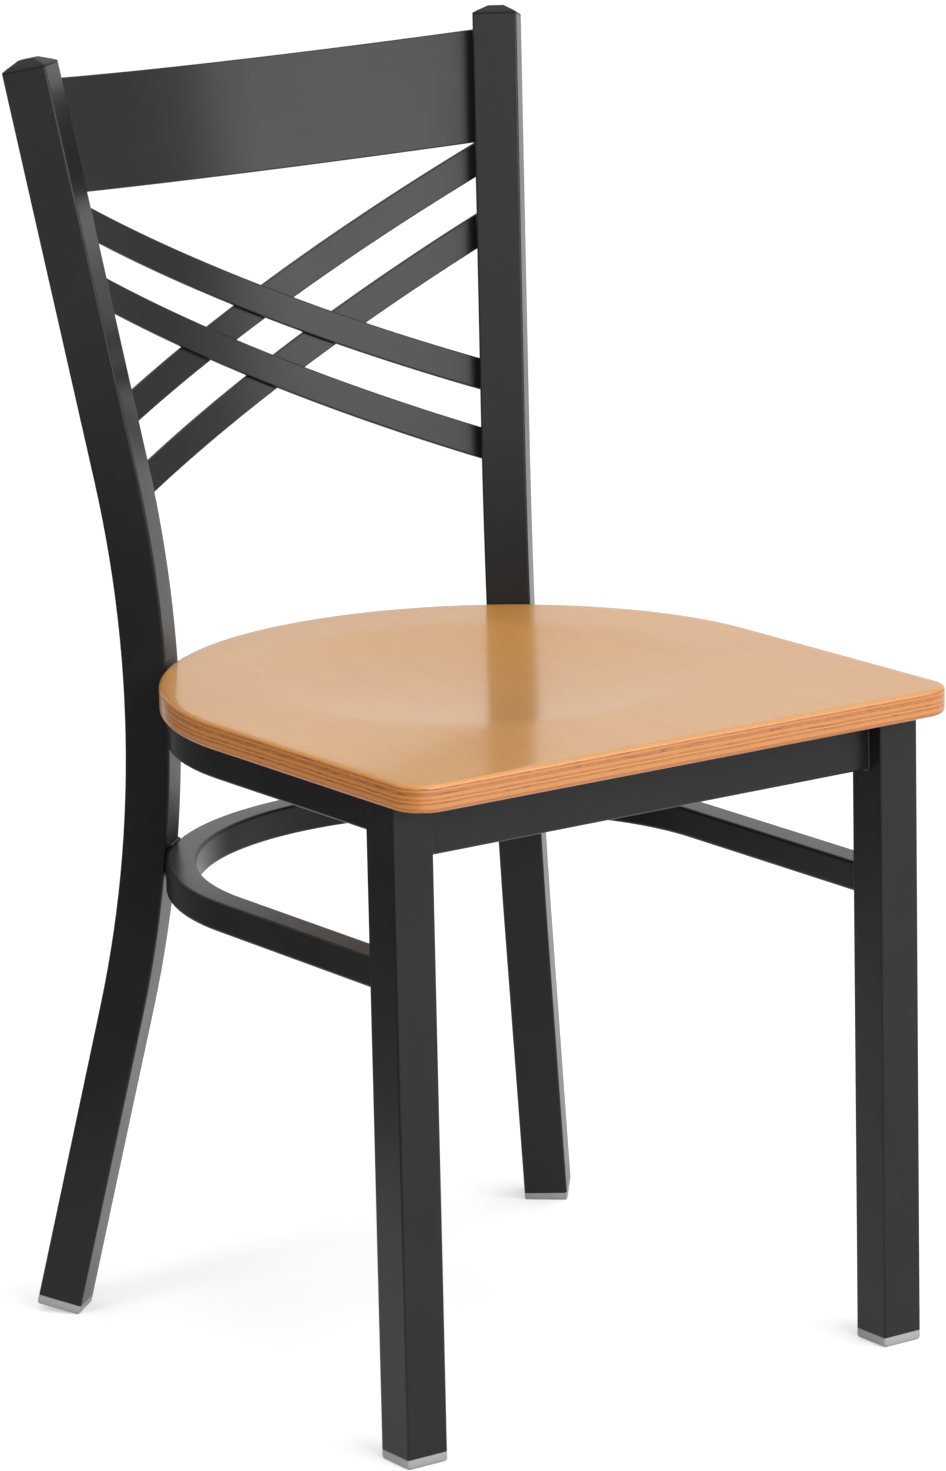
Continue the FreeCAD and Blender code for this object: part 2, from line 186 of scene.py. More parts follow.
def noiseNode(tree, vector, scale, detail, roughness):
    return addNode(tree, "ShaderNodeTexNoise",
                   {"Vector": vector, "Scale": scale, "Detail": detail,
                    "Roughness": roughness}).outputs["Fac"]


def mapRange(tree, value, source, result=(0.0, 1.0), smooth=False):
    return addNode(tree, "ShaderNodeMapRange",
                   {"Value": value, "From Min": source[0], "From Max": source[1],
                    "To Min": result[0], "To Max": result[1]},
                   interpolation_type="SMOOTHSTEP" if smooth else "LINEAR").outputs["Result"]


def spreadNoise(tree, noise, result=(0.0, 1.0)):
    # Most of a noise texture's values lie from 0.3 to 0.7
    return mapRange(tree, noise, (0.3, 0.7), result)


def mixColor(tree, factor, a, b):
    node = addNode(tree, "ShaderNodeMix", {"Factor": factor}, data_type="RGBA")
    for place, value in ((6, a), (7, b)):
        plain = isinstance(value, (tuple, list))
        feed(tree, node, {place: (*value, 1.0) if plain else value})
    return node.outputs[2]


def tinted(color, factor):
    return [channel * factor for channel in color]


def newGroup(name, inputs, outputs):
    group = bpy.data.node_groups.new(name, "ShaderNodeTree")
    group.interface.new_socket("Vector", in_out="INPUT", socket_type="NodeSocketVector")
    for label, value in inputs:
        socket = group.interface.new_socket(label, in_out="INPUT", socket_type="NodeSocketFloat")
        socket.default_value = value
    for label in outputs:
        group.interface.new_socket(label, in_out="OUTPUT", socket_type="NodeSocketFloat")
    return group, group.nodes.new("NodeGroupInput").outputs, group.nodes.new("NodeGroupOutput")


def makeCoatSkin():
    # Fine skin of a coating or moulding: a tone that drifts, and the height of its texture
    swellScale, swellShare = 0.28, 0.4
    group, given, leave = newGroup("coatSkin", (("Skin scale", 900.0), ("Drift scale", 9.0)),
                                   ("Drift", "Height"))
    drift = noiseNode(group, given["Vector"], given["Drift scale"], 3.0, 0.55)
    coarse = noiseNode(group, given["Vector"], given["Skin scale"], 2.0, 0.6)
    wider = mathNode(group, "MULTIPLY", given["Skin scale"], swellScale)
    swell = noiseNode(group, given["Vector"], wider, 1.0, 0.5)
    height = mathNode(group, "ADD", mathNode(group, "MULTIPLY", coarse, 1 - swellShare),
                      mathNode(group, "MULTIPLY", swell, swellShare))
    feed(group, leave, {"Drift": drift, "Height": height})
    return group


dustFilm = {
    "color": (0.30, 0.29, 0.27),
    "upwards": (0.5, 0.98),
    "patchScale": 35.0,
    "patchEdges": (0.4, 0.75),
    "thinnest": 0.2,
}


def makeSettledDust():
    # Thin film of dust that settles on faces that look up
    group, given, leave = newGroup("settledDust", (("Amount", 0.2),), ("Mask",))
    geometry = addNode(group, "ShaderNodeNewGeometry")
    split = addNode(group, "ShaderNodeSeparateXYZ", {0: geometry.outputs["Normal"]})
    facing = mapRange(group, split.outputs["Z"], dustFilm["upwards"], smooth=True)
    patches = mapRange(group, noiseNode(group, given["Vector"], dustFilm["patchScale"], 5.0, 0.65),
                       dustFilm["patchEdges"], (dustFilm["thinnest"], 1.0), smooth=True)
    feed(group, leave, {"Mask": mathNode(
        group, "MULTIPLY", mathNode(group, "MULTIPLY", facing, patches), given["Amount"])})
    return group


groups = {"coatSkin": makeCoatSkin(), "settledDust": makeSettledDust()}


def startMaterial(name):
    material = bpy.data.materials.new(name)
    material.use_nodes = True
    tree = material.node_tree
    place = addNode(tree, "ShaderNodeTexCoord")
    return material, tree, tree.nodes["Principled BSDF"], place.outputs["Object"]


def useGroup(tree, name, vector, inputs):
    node = addNode(tree, "ShaderNodeGroup", node_tree=groups[name])
    return feed(tree, node, {"Vector": vector, **inputs}).outputs


def bumpFrom(tree, shader, height, strength, distance):
    bump = addNode(tree, "ShaderNodeBump",
                   {"Strength": strength, "Distance": distance, "Height": height})
    join(tree, bump.outputs["Normal"], shader.inputs["Normal"])


powderCoat = {
    "color": (0.0086, 0.0086, 0.0088),
    "palerColor": (0.0112, 0.0112, 0.0115),
    "roughness": (0.28, 0.33),
    "specular": 0.205,
    "skinScale": 1100.0,
    "skinStrength": 0.16,
    "dust": 0.05,
}

capPlastic = {
    "color": (0.0100, 0.0100, 0.0103),
    "palerColor": (0.0135, 0.0135, 0.0139),
    "roughness": (0.46, 0.52),
    "specular": 0.09,
    "skinScale": 1500.0,
    "skinStrength": 0.10,
    "dust": 0.03,
}

glidePlastic = {
    "color": (0.235, 0.235, 0.231),
    "palerColor": (0.300, 0.300, 0.294),
    "roughness": (0.45, 0.6),
    "specular": 0.45,
    "skinScale": 1300.0,
    "skinStrength": 0.10,
    "dust": 0.0,
}


def makeCoating(name, look, driftScale=11.0, skinDepth=0.0002):
    material, tree, shader, place = startMaterial(name)
    skin = useGroup(tree, "coatSkin", place,
                    {"Skin scale": look["skinScale"], "Drift scale": driftScale})
    dust = useGroup(tree, "settledDust", place, {"Amount": look["dust"]})
    color = mixColor(tree, spreadNoise(tree, skin["Drift"]), look["color"], look["palerColor"])
    feed(tree, shader, {
        "Base Color": mixColor(tree, dust["Mask"], color, dustFilm["color"]),
        "Roughness": spreadNoise(tree, skin["Drift"], look["roughness"]),
        "Specular IOR Level": look["specular"]})
    bumpFrom(tree, shader, skin["Height"], look["skinStrength"], skinDepth)
    return material


coating = makeCoating("blackPowderCoat", powderCoat)
capMaterial = makeCoating("mouldedBlackCap", capPlastic)
glideMaterial = makeCoating("mouldedGreyGlide", glidePlastic)
print("coatings made")

seatVeneer = {
    "paleVeneer": (0.515, 0.243, 0.050),
    "darkVeneer": (0.445, 0.198, 0.036),
    "pores": (0.260, 0.100, 0.022),
    "poreEdges": (0.66, 0.78),
    "poreStrength": 0.42,
    "grainScale": 210.0,
    "lengthwiseScale": 9.0,
    "fibresPerGrain": 5.0,
    "bendScale": 5.0,
    "grainBend": 0.022,
    "cloudScale": 6.0,
    "cloudRange": (0.15, 0.85),
    "cloudShare": 0.55,
    "roughness": 0.48,
    "specular": 0.3,
    "coat": 0.70,
    "coatIor": 1.36,
    "coatRoughness": 0.15,
    "skinScale": 260.0,
    "skinStrength": 0.05,
    "skinDepth": 0.0003,
}


def makeVeneer(name, look):
    material, tree, shader, place = startMaterial(name)
    stretch = addNode(tree, "ShaderNodeMapping", {
        "Vector": place, "Scale": (1.0, look["lengthwiseScale"] / look["grainScale"], 1.0)})
    bend = mapRange(tree, noiseNode(tree, place, look["bendScale"], 2.0, 0.5), (0.0, 1.0),
                    (-look["grainBend"], look["grainBend"]))
    wander = addNode(tree, "ShaderNodeCombineXYZ", {"X": bend})
    shifted = addNode(tree, "ShaderNodeVectorMath",
                      {0: stretch.outputs["Vector"], 1: wander.outputs[0]}, operation="ADD")
    grain = noiseNode(tree, shifted.outputs[0], look["grainScale"], 4.0, 0.6)
    fibre = noiseNode(tree, shifted.outputs[0], look["grainScale"] * look["fibresPerGrain"],
                      2.0, 0.6)
    cloud = spreadNoise(tree, noiseNode(tree, place, look["cloudScale"], 3.0, 0.55),
                        look["cloudRange"])
    share = look["cloudShare"]
    tone = mathNode(tree, "ADD", mathNode(tree, "MULTIPLY", cloud, share),
                    mathNode(tree, "MULTIPLY", spreadNoise(tree, grain), 1 - share), clamp=True)
    color = mixColor(tree, tone, look["darkVeneer"], look["paleVeneer"])
    poreMask = mapRange(tree, fibre, look["poreEdges"], (0.0, look["poreStrength"]), smooth=True)
    feed(tree, shader, {
        "Base Color": mixColor(tree, poreMask, color, look["pores"]),
        "Roughness": look["roughness"],
        "Specular IOR Level": look["specular"],
        "Coat Weight": look["coat"],
        "Coat Roughness": look["coatRoughness"],
        "Coat IOR": look["coatIor"]})
    skin = useGroup(tree, "coatSkin", place, {"Skin scale": look["skinScale"]})
    bumpFrom(tree, shader, skin["Height"], look["skinStrength"], look["skinDepth"])
    return material


seatEdge = {
    "longPly": (0.535, 0.200, 0.030),
    "darkestLongPly": 0.80,
    "endPly": (0.335, 0.104, 0.013),
    "darkestEndPly": 0.70,
    "palestEndPly": 1.35,
    "glueLine": (0.130, 0.038, 0.006),
    "glueEdges": (0.42, 0.49),
    "glueStrength": 0.42,
    "plyCount": 11,
    "plyWander": 0.00022,
    "wanderScale": 16.0,
    "unevenTurns": 1.35,
    "unevenHeights": 0.38,
    "plyVariation": 0.30,
    "streakScale": 170.0,
    "streakLength": 9.0,
    "hollowScale": 75.0,
    "hollowLength": 12.0,
    "hollowEdges": (0.55, 0.66),
    "hollowStrength": 0.8,
    "soundPlies": 0.45,
    "roughness": 0.5,
    "coat": 0.60,
    "coatRoughness": 0.22,
    "reliefStrength": 0.12,
    "reliefDepth": 0.0002,
}


def makePlyEdge(name, look, lowest, highest):
    # Stacked plies, alternately with the grain along the edge and across it
    material, tree, shader, place = startMaterial(name)
    split = addNode(tree, "ShaderNodeSeparateXYZ", {0: place})
    wander = spreadNoise(tree, noiseNode(tree, place, look["wanderScale"], 2.0, 0.5),
                         (-look["plyWander"], look["plyWander"]))
    height = mathNode(tree, "ADD", split.outputs["Z"], wander)
    even = mathNode(tree, "MULTIPLY", mathNode(tree, "SUBTRACT", height, lowest),
                    look["plyCount"] / (highest - lowest))
    uneven = mathNode(tree, "SINE", mathNode(tree, "MULTIPLY", even, look["unevenTurns"]))
    level = mathNode(tree, "ADD", even,
                     mathNode(tree, "MULTIPLY", uneven, look["unevenHeights"]))
    within = mathNode(tree, "FRACT", level)
    pairs = mathNode(tree, "FRACT", mathNode(tree, "MULTIPLY", level, 0.5))
    endPly = mathNode(tree, "GREATER_THAN", pairs, 0.5)
    offMiddle = mathNode(tree, "ABSOLUTE", mathNode(tree, "SUBTRACT", within, 0.5))
    glue = mapRange(tree, offMiddle, look["glueEdges"], smooth=True)

    def alongEdge(scale, length, detail, roughness):
        # Noise drawn out along the plies
        flatten = addNode(tree, "ShaderNodeMapping",
                          {"Vector": place, "Scale": (1.0, 1.0, length)})
        return noiseNode(tree, flatten.outputs["Vector"], scale, detail, roughness)

    streaks = alongEdge(look["streakScale"], look["streakLength"], 4.0, 0.65)
    dashes = alongEdge(look["hollowScale"], look["hollowLength"], 3.0, 0.6)
    plyTone = addNode(tree, "ShaderNodeTexWhiteNoise", noise_dimensions="1D")
    feed(tree, plyTone, {"W": mathNode(tree, "FLOOR", level)})
    plyTone = plyTone.outputs["Value"]

    longColor = mixColor(tree, spreadNoise(tree, streaks),
                         tinted(look["longPly"], look["darkestLongPly"]), look["longPly"])
    endColor = mixColor(tree, spreadNoise(tree, streaks),
                        tinted(look["endPly"], look["darkestEndPly"]),
                        tinted(look["endPly"], look["palestEndPly"]))
    color = mixColor(tree, endPly, longColor, endColor)
    color = mixColor(tree, mathNode(tree, "MULTIPLY", plyTone, look["plyVariation"]), color,
                     look["endPly"])
    color = mixColor(tree, mathNode(tree, "MULTIPLY", glue, look["glueStrength"]), color,
                     look["glueLine"])
    hollow = mapRange(tree, dashes, look["hollowEdges"], (0.0, look["hollowStrength"]),
                      smooth=True)
    worn = mathNode(tree, "GREATER_THAN", plyTone, look["soundPlies"])
    hollow = mathNode(tree, "MULTIPLY", hollow, mathNode(tree, "MULTIPLY", endPly, worn))
    feed(tree, shader, {
        "Base Color": mixColor(tree, hollow, color, look["glueLine"]),
        "Roughness": look["roughness"],
        "Coat Weight": look["coat"],
        "Coat Roughness": look["coatRoughness"]})
    bumpFrom(tree, shader, mathNode(tree, "SUBTRACT", streaks, glue), look["reliefStrength"],
             look["reliefDepth"])
    return material


screwZinc = {
    "color": (0.36, 0.36, 0.37),
    "palerColor": (0.62, 0.61, 0.60),
    "roughness": (0.28, 0.42),
    "driftScale": 300.0,
}


def makeZinc(name, look):
    material, tree, shader, place = startMaterial(name)
    drift = useGroup(tree, "coatSkin", place, {"Drift scale": look["driftScale"]})["Drift"]
    feed(tree, shader, {"Base Color": mixColor(tree, drift, look["color"], look["palerColor"]),
                        "Roughness": spreadNoise(tree, drift, look["roughness"]),
                        "Metallic": 1.0})
    return material


seatLow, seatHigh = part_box("seat_panel")
veneer = makeVeneer("lacqueredVeneer", seatVeneer)
plyEdge = makePlyEdge("plyEdge", seatEdge, seatLow.z, seatHigh.z)
screwMetal = makeZinc("zincScrew", screwZinc)
print("wood and metal made")


def startTree(name, source, sizes, counts=()):
    # Geometry tree with one named geometry input and named sizes and counts
    tree = bpy.data.node_groups.new(name, "GeometryNodeTree")
    face = tree.interface
    face.new_socket(source, in_out="INPUT", socket_type="NodeSocketGeometry")
    for kind, entries in (("NodeSocketFloat", sizes), ("NodeSocketInt", counts)):
        for label, value in entries:
            socket = face.new_socket(label, in_out="INPUT", socket_type=kind)
            socket.default_value = value
    face.new_socket("Finish", in_out="INPUT", socket_type="NodeSocketMaterial")
    face.new_socket("Result", in_out="OUTPUT", socket_type="NodeSocketGeometry")
    return tree, tree.nodes.new("NodeGroupInput").outputs


def endTree(tree, given, geometry):
    realize = addNode(tree, "GeometryNodeRealizeInstances", {"Geometry": geometry})
    paint = addNode(tree, "GeometryNodeSetMaterial",
                    {"Geometry": realize.outputs["Geometry"], "Material": given["Finish"]})
    leave = tree.nodes.new("NodeGroupOutput")
    join(tree, paint.outputs["Geometry"], leave.inputs["Result"])
    return tree


def makeTubeTree():
    # Square tube drawn along a chain of edges that lies level, so that its sides stay upright
    tree, given = startTree(
        "tubeAlongPath", "Path",
        (("Width", 0.03), ("Height", 0.03), ("Corner radius", 0.0015)), (("Corner steps", 5),))
    path = addNode(tree, "GeometryNodeMeshToCurve", {"Mesh": given["Path"]})
    level = addNode(tree, "GeometryNodeSetCurveNormal", {"Curve": path.outputs["Curve"]},
                    mode="Z_UP")
    outline = addNode(tree, "GeometryNodeCurvePrimitiveQuadrilateral",
                      {"Width": given["Width"], "Height": given["Height"]})
    rounded = addNode(tree, "GeometryNodeFilletCurve",
                      {"Curve": outline.outputs["Curve"], "Count": given["Corner steps"],
                       "Radius": given["Corner radius"]}, mode="POLY")
    skin = addNode(tree, "GeometryNodeCurveToMesh",
                   {"Curve": level.outputs["Curve"], "Profile Curve": rounded.outputs["Curve"],
                    "Fill Caps": True})
    return endTree(tree, given, skin.outputs["Mesh"])


def grownMesh(name, startMesh, tree, inputs):
    # Runs a node tree on a mesh and keeps its result as a plain mesh
    source = addObject(name + "Source", startMesh)
    modifier = source.modifiers.new("grow", "NODES")
    modifier.node_group = tree
    sockets = {s.name: s.identifier for s in tree.interface.items_tree
               if s.item_type == "SOCKET" and s.in_out == "INPUT"}
    for label, value in inputs.items():
        modifier[sockets[label]] = value
    graph = bpy.context.evaluated_depsgraph_get()
    mesh = bpy.data.meshes.new_from_object(source.evaluated_get(graph))
    mesh.name = name
    source.modifiers.clear()
    bpy.data.objects.remove(source)
    return mesh


tubeTree = makeTubeTree()


def pathsMesh(paths):
    # Chains of edges, one for each path
    points, edges = [], []
    for path in paths:
        edges += [(len(points) + k, len(points) + k + 1) for k in range(len(path) - 1)]
        points += path
    return newMesh("paths", points, edges, [])


def tubeMesh(name, points, place, width, height, corner):
    mesh = grownMesh(name, pathsMesh([points]), tubeTree, {
        "Width": width, "Height": height, "Corner radius": corner, "Corner steps": 5,
        "Finish": coating})
    mesh.transform(place)
    return smoothed(mesh, 8.0)


# Front legs, upright tubes whose lower ends take the glides
legLength = chair["frameHeight"] - chair["glideHeight"]
legPlace = axesMatrix(Vector((chair["legSide"], shiftY - chair["legForward"],
                              chair["glideHeight"])), worldUp, Vector((0, 1, 0)))
legPath = [Vector((legLength * share, 0, 0)) for share in (0, 0.5, 1)]
linkPair("frontLeg", tubeMesh("frontLegRight", legPath, legPlace, chair["tube"], chair["tube"],
                              chair["tubeCorner"]), "front_leg")

# Rail between the front legs
frontRail = {"height": 40.8 * mm, "depth": 18.3 * mm, "corner": 2.0 * mm}
railLow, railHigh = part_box("front_rail")
railPath = [Vector((x, 0, 0)) for x in (railLow.x, 0, railHigh.x)]
linkPiece("frontRail", tubeMesh("frontRail", railPath,
                                Matrix.Translation((railLow + railHigh) / 2), frontRail["depth"],
                                frontRail["height"], frontRail["corner"]), "front_rail")


def ringPoints(limbSide, radius, centreY, steps=72):
    # Middle line of a U ring, from the right limb round the back to the left one
    reach = math.hypot(limbSide, rearFace - centreY)
    angle = math.atan2(rearFace - centreY, limbSide) + math.acos(radius / reach)
    points = [Vector((limbSide, rearFace, 0))]
    for k in range(steps + 1):
        turned = angle + (math.pi - angle - angle) * k / steps
        points.append(Vector((radius * math.cos(turned),
                              centreY + radius * math.sin(turned), 0)))
    points.append(Vector((-limbSide, rearFace, 0)))
    return points


# Ring under the seat, and the lower ring that ties the legs
seatRing = {"width": 20.0 * mm, "height": 25.3 * mm, "corner": 2.0 * mm}
ringLow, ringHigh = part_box("seat_ring")
ringMiddle = chair["ringRadius"] - seatRing["width"] / 2
linkPiece("seatRing", tubeMesh("seatRing", ringPoints(ringMiddle - 1e-6, ringMiddle, shiftY),
                               Matrix.Translation((0, 0, (ringLow.z + ringHigh.z) / 2)),
                               seatRing["width"], seatRing["height"], seatRing["corner"]),
          "seat_ring")

lowerRing = {"size": 20.4 * mm, "corner": 2.0 * mm, "radius": 202.0 * mm, "legInset": 7.8 * mm}
lowLow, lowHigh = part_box("stretcher_ring")
lowMiddle = (lowLow.z + lowHigh.z) / 2
limbSide = chair["legSide"] + halfTube - lowerRing["legInset"] - lowerRing["size"] / 2
lowerRadius = lowerRing["radius"] - lowerRing["size"] / 2
lowerCentre = lowHigh.y - lowerRing["radius"]
linkPiece("stretcherRing", tubeMesh("stretcherRing",
                                    ringPoints(limbSide, lowerRadius, lowerCentre),
                                    Matrix.Translation((0, 0, lowMiddle)), lowerRing["size"],
                                    lowerRing["size"], lowerRing["corner"]), "stretcher_ring")

# Rear posts, bent in one plane that is turned outwards and leans inwards a little
rearPost = {
    "turn": 41.5,
    "lean": 1.32,
    "sideOffset": 6.5 * mm,
    "waistDrop": 24.5 * mm,
    "touch": 0.2 * mm,
    "bendRadius": 846.0 * mm,
    "bendPoints": 28,
    "legRake": 13.5,
    "backRake": 11.57,
    "capFlange": 1.5 * mm,
    "capRise": 5.2 * mm,
    "capInset": 8.8 * mm,
    "capCorner": 1.0 * mm,
    "glideRounding": 2.5 * mm,
    "glideTread": 0.8 * mm,
}
turn, lean = math.radians(rearPost["turn"]), math.radians(rearPost["lean"])
rakeDown, rakeUp = math.radians(rearPost["legRake"]), math.radians(rearPost["backRake"])
postOut = Vector((math.sin(turn), math.cos(turn), 0))
postFlat = Vector((math.cos(turn), -math.sin(turn), 0))
postUp = worldUp * math.cos(lean) - postFlat * math.sin(lean)
postSide = postUp.cross(postOut)
if postSide.dot(postFlat) < 0:
    postSide = -postSide
waist = (postOut * (chair["ringRadius"] + rearPost["touch"] + halfTube)
         + postFlat * rearPost["sideOffset"]
         + Vector((0, shiftY, chair["frameHeight"] - rearPost["waistDrop"])))
bend = rearPost["bendRadius"]


def bendPoint(angle):
    # Point of the post's middle line in its own plane, as far out of and up from its waist
    return Vector((bend * (1 - math.cos(angle)), bend * math.sin(angle), 0))


def inPost(flat):
    return waist + postOut * flat.x + postUp * flat.y


def flatPost(point):
    offset = point - waist
    return Vector((offset.dot(postOut), offset.dot(postUp), 0))


lowerAxis = postOut * math.sin(rakeDown) - postUp * math.cos(rakeDown)
upperAxis = postOut * math.sin(rakeUp) + postUp * math.cos(rakeUp)
lowerBendEnd, upperBendEnd = inPost(bendPoint(-rakeDown)), inPost(bendPoint(rakeUp))


def onAxis(start, axis, height):
    return start + axis * ((height - start.z) / axis.z)


rounding = rearPost["glideRounding"]
soleHeight = ((halfTube - rounding) * math.sin(rakeDown) + rounding * (1 - math.cos(rakeDown))
              - rearPost["glideTread"])
sole = onAxis(lowerBendEnd, lowerAxis, soleHeight)
postBottom = sole - lowerAxis * chair["glideHeight"]
capTopHalf = halfTube - rearPost["capInset"]
capReach = ((rearPost["capFlange"] + rearPost["capRise"]) * upperAxis.z
            + capTopHalf * math.sin(rakeUp) * math.cos(lean)
            + (capTopHalf - rearPost["capCorner"]) * math.sin(lean))
postTop = onAxis(upperBendEnd, upperAxis, chair["totalHeight"] - capReach)

postPath = [flatPost(postBottom)]
postPath += [bendPoint(angle) for angle in np.linspace(-rakeDown, rakeUp, rearPost["bendPoints"])]
postPath.append(flatPost(postTop))
postPlace = Matrix.Translation(waist) @ turnedBy(postOut, postUp, postOut.cross(postUp))
linkPair("rearPost", tubeMesh("rearPostRight", postPath, postPlace, chair["tube"], chair["tube"],
                              chair["tubeCorner"]), "rear_post")
print("frame tubes made")

# Flat bars of the back, all rolled to one radius and cut at the posts' inner faces
backBars = {
    "bowRadius": 420.0 * mm,
    "thickness": 3.0 * mm,
    "seatDepth": 17.3 * mm,
    "clearance": 0.25 * mm,
    "crestDrop": 8.9 * mm,
    "crestHeight": 77.3 * mm,
    "crestGap": 0.3 * mm,
    "slatWidth": 20.4 * mm,
    "frontSlatFall": 144.9 * mm,
    "rearSlatFall": 141.4 * mm,
    "frontSlatStep": 46.4 * mm,
    "rearSlatStep": 47.6 * mm,
    "edgeRounding": 0.8 * mm,
    "roundingSteps": 3,
    "steps": 56,
}
bow = backBars["bowRadius"]


def barSeat(height):
    # Where a bar's front face meets the right post at this height
    across = upperAxis.cross(postSide)
    if across.dot(postOut) < 0:
        across = -across
    return (onAxis(upperBendEnd, upperAxis, height) - postSide * halfTube
            + across * (backBars["seatDepth"] - halfTube))


def bowDepth(half):
    return bow - math.sqrt(bow ** 2 - half ** 2)


crestMiddle = postTop.z - backBars["crestDrop"] - backBars["crestHeight"] * upperAxis.z / 2
highSeat = barSeat(crestMiddle)
lowSeat = barSeat(crestMiddle - backBars["crestHeight"] - backBars["rearSlatStep"]
                  - backBars["rearSlatFall"])
seatFall = math.hypot(highSeat.y - lowSeat.y, highSeat.z - lowSeat.z)
backLean = (math.atan2(highSeat.y - lowSeat.y, highSeat.z - lowSeat.z)
            + math.asin((bowDepth(highSeat.x) - bowDepth(lowSeat.x)) / seatFall))
backUp = Vector((0, math.sin(backLean), math.cos(backLean)))
backRear = Vector((0, math.cos(backLean), -math.sin(backLean)))
bowCentre = Vector((0, highSeat.y, highSeat.z)) - backRear * (bow - bowDepth(highSeat.x))
slatSlope = math.atan2(backBars["rearSlatFall"] / math.cos(backLean), 2 * highSeat.x)
upperHigh = (crestMiddle - backBars["crestHeight"] * math.cos(backLean) / 2
             - backBars["crestGap"]
             - backBars["slatWidth"] * math.cos(backLean) / math.cos(slatSlope) / 2)
postInner = waist - postSide * halfTube
endFaces = {1: (postInner, postSide)}
endFaces[-1] = tuple(Vector((-v.x, v.y, v.z)) for v in endFaces[1])


def barPoint(left, right, radius, offset, deep, along):
    # Point of a bar, by its offset across, its depth from the front face and its distance along
    run = (right - left).normalized()
    flat = left + run * along + Vector((-run.y, run.x)) * offset
    return (bowCentre + Vector((flat.x, 0, 0)) + backUp * flat.y
            + backRear * math.sqrt((radius + deep) ** 2 - flat.x ** 2))


def barEnd(left, right, radius, offset, deep, side, halvings=40):
    # Distance along a bar at which it meets the inner face of the right (1) or left (-1) post
    length = (right - left).length
    inside = length / 2
    outside = length * (1.2 if side > 0 else -0.2)
    point, normal = endFaces[side]
    for _ in range(halvings):
        middle = (inside + outside) / 2
        if (barPoint(left, right, radius, offset, deep, middle) - point).dot(normal) > 0:
            outside = middle
        else:
            inside = middle
    return (inside + outside) / 2


def linkBar(name, node, left, right, radius, width):
    thickness, steps = backBars["thickness"], backBars["steps"]
    rings = [[] for _ in range(steps + 1)]
    for offset, y in roundedOutline(width, thickness, backBars["edgeRounding"],
                                    backBars["roundingSteps"]):
        deep = y + thickness / 2
        first, last = (barEnd(left, right, radius, offset, deep, side) for side in (-1, 1))
        for k in range(steps + 1):
            rings[k].append(barPoint(left, right, radius, offset, deep,
                                     first + (last - first) * k / steps))
    linkPiece(name, turnedOut(smoothed(loftMesh(name, rings), 8.0)), node, material=coating)


def slatSpan(rank, kind):
    # Ends of the upper (0) or lower (1) slat of a pair that falls to the right
    high = upperHigh - rank * backBars[kind + "SlatStep"]
    low = high - backBars[kind + "SlatFall"]
    return [Vector((side * barSeat(height).x, (height - crestMiddle) / math.cos(backLean)))
            for side, height in ((-1, high), (1, low))]


# Each bar's ends, the radius of its front face and its width
barSpans = {"crestRail": (Vector((-highSeat.x, 0)), Vector((highSeat.x, 0)), bow,
                          backBars["crestHeight"])}
frontRadius = bow - backBars["thickness"] - backBars["clearance"]
for rank, level in enumerate(("Upper", "Lower")):
    barSpans["backSlatFront" + level] = (*slatSpan(rank, "front"), frontRadius,
                                         backBars["slatWidth"])
    left, right = slatSpan(rank, "rear")
    barSpans["backSlatRear" + level] = (Vector((-right.x, right.y)), Vector((-left.x, left.y)),
                                        bow, backBars["slatWidth"])
for name, span in barSpans.items():
    node = "".join("_" + c.lower() if c.isupper() else c for c in name)
    linkBar(name, node, *span)
print("back bars made")

seatPanel = {
    "cornerRadius": 22.0 * mm,
    "topRounding": 2.6 * mm,
    "veneerThickness": 0.8 * mm,
    "bottomRounding": 3.0 * mm,
    "dishDepth": 5.2 * mm,
    "dishReach": 146.0 * mm,
    "dishForward": 11.0 * mm,
    "dishEasing": 0.07,
    "topRings": 44,
    "frontPoints": 44,
    "cornerPoints": 10,
    "sidePoints": 22,
    "backPoints": 104,
    "bottomSteps": 5,
    "sideSteps": 4,
    "topSteps": 6,
}


def seatOutline():
    # Points round the panel and the way out of the panel at each of them
    half = (seatHigh.x - seatLow.x) / 2
    front, corner = seatLow.y, seatPanel["cornerRadius"]
    backCentre = seatHigh.y - half
    turnPoints, sidePoints = seatPanel["cornerPoints"], seatPanel["sidePoints"]
    outline = []

    def run(start, end, out, pieces):
        for k in range(pieces):
            outline.append((Vector(start).lerp(Vector(end), k / pieces), Vector(out)))

    def arc(centre, radius, fromAngle, toAngle, pieces):
        for k in range(pieces):
            angle = math.radians(fromAngle + (toAngle - fromAngle) * k / pieces)
            out = Vector((math.cos(angle), math.sin(angle)))
            outline.append((Vector(centre) + out * radius, out))

    run((corner - half, front), (half - corner, front), (0, -1), seatPanel["frontPoints"])
    arc((half - corner, front + corner), corner, -90, 0, turnPoints)
    run((half, front + corner), (half, backCentre), (1, 0), sidePoints)
    arc((0, backCentre), half, 0, 180, seatPanel["backPoints"])
    run((-half, backCentre), (-half, front + corner), (-1, 0), sidePoints)
    arc((corner - half, front + corner), corner, 180, 270, turnPoints)
    return outline


def dishAt(flat):
    # Depth of the scooped sitting place, with a soft rim
    away = math.hypot(flat.x, flat.y - (shiftY - seatPanel["dishForward"]))
    inside = 1 - (away / seatPanel["dishReach"]) ** 2
    easing = seatPanel["dishEasing"]
    if inside < -8 * easing:
        return 0.0
    return seatPanel["dishDepth"] * easing * math.log1p(math.exp(inside / easing))


def quarterTurn(steps):
    return [math.radians(90 * k / steps) for k in range(steps + 1)]


